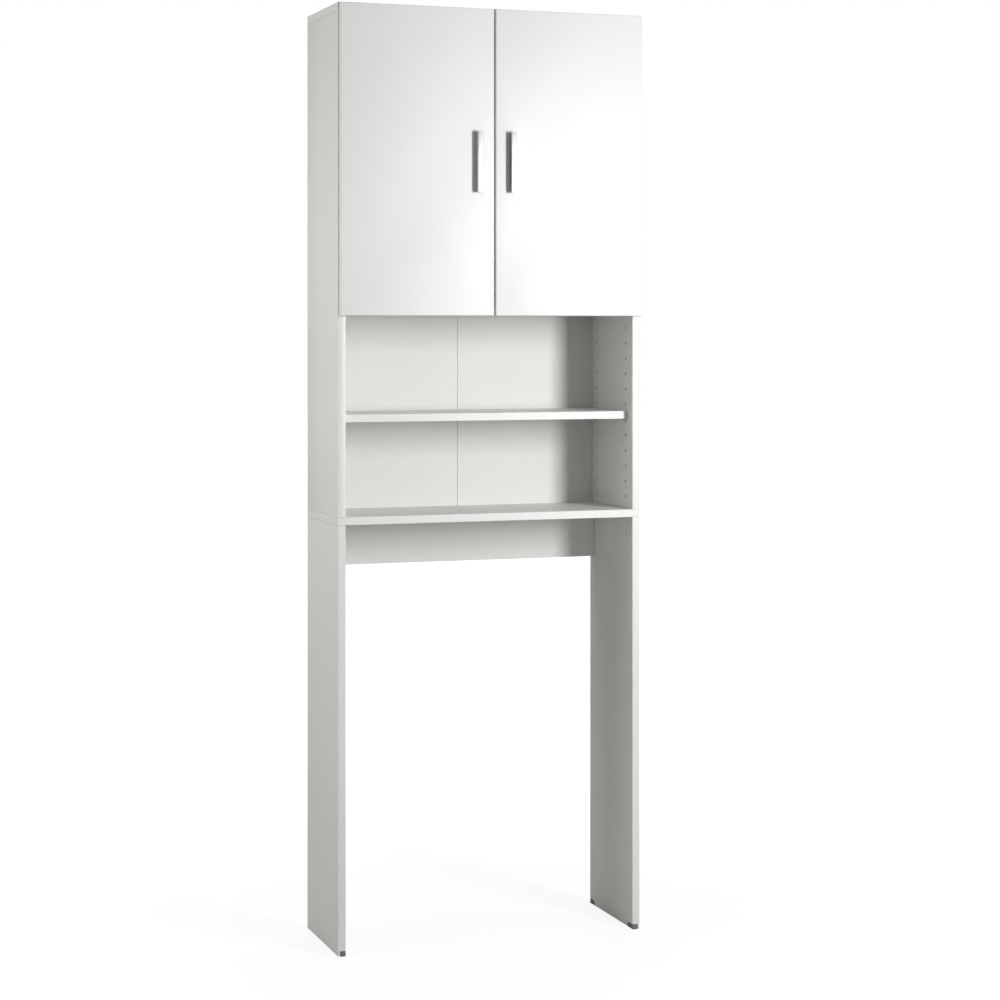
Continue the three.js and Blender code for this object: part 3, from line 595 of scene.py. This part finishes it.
def carcass_fittings(name):
    """A side's wall angle with its screw, its two glides and its shelf pins."""
    softened_copy(
        f"wall_angle_{name}", f"{name}_wall_bracket", ZINC, "carcass",
        BRACKET_EDGE, MOULDED_EDGE_STEPS,
    )
    softened_copy(f"wall_angle_screw_{name}", f"{name}_wall_bracket_screw", ZINC, "carcass")
    for end in ("front", "rear"):
        softened_copy(
            f"{name}_{end}_glide", f"{name}_{end}_foot", GLIDE_GREY, "carcass",
            GLIDE_EDGE, MOULDED_EDGE_STEPS,
        )
        for shelf in ("niche", "cupboard"):
            softened_copy(
                f"{shelf}_pin_{name}_{end}", f"{shelf}_peg_{name}_{end}", ZINC, "carcass",
            )


for name in SIDES:
    for place in HINGES:
        door_fittings(name, place)
    carcass_fittings(name)

# Cover caps, and how far the cam fittings under them are from a board's end and a row of pin holes
CAP_RADIUS = 8.5 * MM
CAP_CROWN_RADIUS = 0.96 * CAP_RADIUS
CAP_HEIGHT = 1.2 * MM
CAP_SEAT = 0.02 * MM
CAP_FACETS = 40
CAP_ROUND = 0.5 * MM
CAP_ROUND_STEPS = 3
DIMPLE_INSET = 0.3 * CAP_RADIUS
DIMPLE_SLOPE = 0.12 * CAP_RADIUS
DIMPLE_DEPTH = 0.25 * MM
CROWN_FACING = 0.9
RIM_REACH = 0.9 * CAP_RADIUS
CAM_FROM_END = 34 * MM
CAM_FROM_ROW = 35 * MM


def cover_cap(name, place, outward):
    """A push-in cap over a cam fitting, with a rounded rim and a dimple for the fingernail."""
    seat, outward = Vector(place), Vector(outward)
    top = seat + outward * CAP_HEIGHT
    cap = round_bar(CAP_RADIUS, seat + outward * CAP_SEAT, top, CAP_FACETS, CAP_CROWN_RADIUS)
    crown = [face for face in cap.faces if face.normal.dot(outward) > CROWN_FACING]
    bmesh.ops.inset_region(cap, faces=crown, thickness=DIMPLE_INSET, depth=0)
    bmesh.ops.inset_region(cap, faces=crown, thickness=DIMPLE_SLOPE, depth=-DIMPLE_DEPTH)

    def rim(edge):
        from_top = [vertex.co - top for vertex in edge.verts]
        level = all(abs(away.dot(outward)) < WELD for away in from_top)
        return level and all(away.length > RIM_REACH for away in from_top)

    soften(cap, CAP_ROUND, CAP_ROUND_STEPS, rim)
    piece(name, cap, [CAP_WHITE], "carcass")


def cover_caps(name, side):
    """Caps on a leg under the bottom board, on a side panel under the top board, and on the fixed shelf."""
    leg_low, leg_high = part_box(f"{name}_leg_panel")
    panel_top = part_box(f"{name}_side_panel")[1].z
    shelf_low, shelf_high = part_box("middle_shelf")
    inner = leg_low.x if side > 0 else leg_high.x
    shelf_end = shelf_high.x if side > 0 else shelf_low.x
    inward = (-side, 0, 0)
    upward = (0, 0, 1)
    front_row = leg_low.y + FRONT_ROW
    rows = {"front": (front_row, CAM_FROM_ROW), "rear": (front_row + ROW_SPACING, -CAM_FROM_ROW)}
    for end, (row, inset) in rows.items():
        cover_cap(f"{name}_leg_cap_{end}", (inner, row, leg_high.z - CAM_FROM_END), inward)
        cover_cap(f"{name}_side_cap_{end}", (inner, row + inset, panel_top - CAM_FROM_END), inward)
        cover_cap(f"{name}_shelf_cap_{end}", (shelf_end - side * CAM_FROM_END, row, shelf_high.z), upward)


for name, side in SIDES.items():
    cover_caps(name, side)

# Glued joints between the boards
JOINT_INSET = 0.25 * MM
JOINT_PLAY = 0.02 * MM


def glued_joint(name, lower, upper):
    """The line of glue between two boards, just inside their faces."""
    lower_low, lower_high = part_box(lower)
    upper_low, upper_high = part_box(upper)
    line = block(
        (
            max(lower_low.x, upper_low.x) + JOINT_INSET,
            max(lower_low.y, upper_low.y) + JOINT_INSET,
            lower_high.z + JOINT_PLAY,
        ),
        (
            min(lower_high.x, upper_high.x) - JOINT_INSET,
            min(lower_high.y, upper_high.y) - JOINT_INSET,
            upper_low.z - JOINT_PLAY,
        ),
    )
    piece(name, line, [BOARD_WHITE], "carcass")


for name in SIDES:
    glued_joint(f"{name}_leg_joint", f"{name}_leg_panel", "bottom_board")
    glued_joint(f"{name}_foot_joint", "bottom_board", f"{name}_side_panel")
    glued_joint(f"{name}_top_joint", f"{name}_side_panel", "top_board")

# Boards that keep the CAD's shape
CARRIED = {
    "left_leg_panel": BOARD_WHITE, "right_leg_panel": BOARD_WHITE, "bottom_board": BOARD_WHITE,
    "top_board": BOARD_WHITE, "middle_shelf": BOARD_WHITE, "niche_shelf": SHELF_WHITE,
    "cupboard_shelf": SHELF_WHITE, "rear_stretcher": BOARD_WHITE, "left_back_panel": BACK_WHITE,
    "right_back_panel": BACK_WHITE, "back_joining_strip": STRIP_WHITE,
}
for node, finish in CARRIED.items():
    NODES[node].data.materials.clear()
    NODES[node].data.materials.append(finish)

# Studio: the floor's glow grows with the distance from the cabinet's middle
FLOOR_SIZE = 30.0
FADE_RANGE = (0.3, 2.2)
GLOW_SHARE = (0.72, 1.0)
GLOW_STRENGTH = 1.22
PURE_WHITE = (1, 1, 1)


def floor_paper():
    """Pale paper that the camera sees glow, less so under the cabinet, where its shadow shows."""
    finish = Finish("floor_paper")
    finish.paint(finish.tones(finish.noise(scale=6.0, detail=3.0), (0.43, 0.43, 0.42), (0.46, 0.46, 0.45)))
    finish.surface.inputs["Roughness"].default_value = 0.8
    away = finish.join(finish.place, "Object", finish.node("ShaderNodeVectorMath", operation="LENGTH"), 0)
    fade = finish.moved(away, "Value", FADE_RANGE, GLOW_SHARE, interpolation_type="SMOOTHSTEP")
    share = finish.join(fade, "Result", finish.node("ShaderNodeMath", operation="MULTIPLY"), 0)
    finish.join(finish.node("ShaderNodeLightPath"), "Is Camera Ray", share, 1)
    glow = finish.node("ShaderNodeEmission", Color=(*PURE_WHITE, 1), Strength=GLOW_STRENGTH)
    mixed = finish.join(share, "Value", finish.node("ShaderNodeMixShader"), 0)
    finish.join(finish.surface, "BSDF", mixed, 1)
    finish.join(glow, "Emission", mixed, 2)
    finish.join(mixed, "Shader", finish.output, "Surface")
    return finish.material


def studio_floor():
    """A wide floor that reads white, with a faint shadow under the cabinet."""
    made = bmesh.new()
    bmesh.ops.create_grid(made, x_segments=1, y_segments=1, size=FLOOR_SIZE)
    mesh = bpy.data.meshes.new("studio_floor")
    made.to_mesh(mesh)
    made.free()
    mesh.materials.append(floor_paper())
    floor = bpy.data.objects.new("studio_floor", mesh)
    bpy.context.scene.collection.objects.link(floor)


def studio_surround(strength, tint):
    """Soft light from all round, behind a white backdrop."""
    world = bpy.data.worlds.new("studio")
    world.use_nodes = True
    bpy.context.scene.world = world
    tree = world.node_tree
    soft = tree.nodes["Background"]
    soft.inputs["Color"].default_value = (*tint, 1)
    soft.inputs["Strength"].default_value = strength
    backdrop = tree.nodes.new("ShaderNodeBackground")
    backdrop.inputs["Color"].default_value = (*PURE_WHITE, 1)
    backdrop.inputs["Strength"].default_value = 1.0
    rays = tree.nodes.new("ShaderNodeLightPath")
    chooser = tree.nodes.new("ShaderNodeMixShader")
    tree.links.new(rays.outputs["Is Camera Ray"], chooser.inputs[0])
    tree.links.new(soft.outputs[0], chooser.inputs[1])
    tree.links.new(backdrop.outputs[0], chooser.inputs[2])
    tree.links.new(chooser.outputs[0], tree.nodes["World Output"].inputs["Surface"])


def studio_light(name, place, aim, size, power, tint=PURE_WHITE):
    """A rectangular lamp that looks at its aim: width and height in metres, power in watts."""
    light = bpy.data.lights.new(name, "AREA")
    light.shape = "RECTANGLE"
    light.size, light.size_y = size
    light.energy = power
    light.color = tint
    lamp = bpy.data.objects.new(name, light)
    lamp.location = place
    lamp.rotation_euler = (Vector(aim) - Vector(place)).to_track_quat("-Z", "Y").to_euler()
    bpy.context.scene.collection.objects.link(lamp)


studio_floor()
studio_surround(strength=0.30, tint=(1.0, 0.985, 0.965))
studio_light("key", place=(0.95, -1.95, 1.40), aim=(0.05, 0, 1.4), size=(0.36, 0.95), power=38.5)
studio_light(
    "side_fill", place=(-1.7, 0.0, 1.36), aim=(-0.33, -0.05, 1.34), size=(0.7, 1.4), power=14.4,
    tint=(1.0, 0.985, 0.955),
)
studio_light(
    "rear_fill", place=(0.9, 1.9, 3.1), aim=(0.1, 0.1, 1.6), size=(1.8, 1.8), power=32,
    tint=(1.0, 0.995, 0.985),
)
bpy.context.scene.view_settings.view_transform = "Standard"

# Camera: level, turned to the cabinet's left front, and shifted down to take in the feet
LENS = 83.8
SENSOR_WIDTH = 36.0
CAMERA_SHIFT = -0.171
CAMERA_PLACE = (-1.571, -4.571, 1.249)
CAMERA_LOOKS = (0.3348, 0.9423, 0.0)

camera_data = bpy.data.cameras.new("camera")
camera_data.lens = LENS
camera_data.sensor_width = SENSOR_WIDTH
camera_data.sensor_fit = "HORIZONTAL"
camera_data.shift_y = CAMERA_SHIFT
camera = bpy.data.objects.new("camera", camera_data)
camera.location = CAMERA_PLACE
camera.rotation_euler = Vector(CAMERA_LOOKS).to_track_quat("-Z", "Y").to_euler()
bpy.context.scene.collection.objects.link(camera)
bpy.context.scene.camera = camera
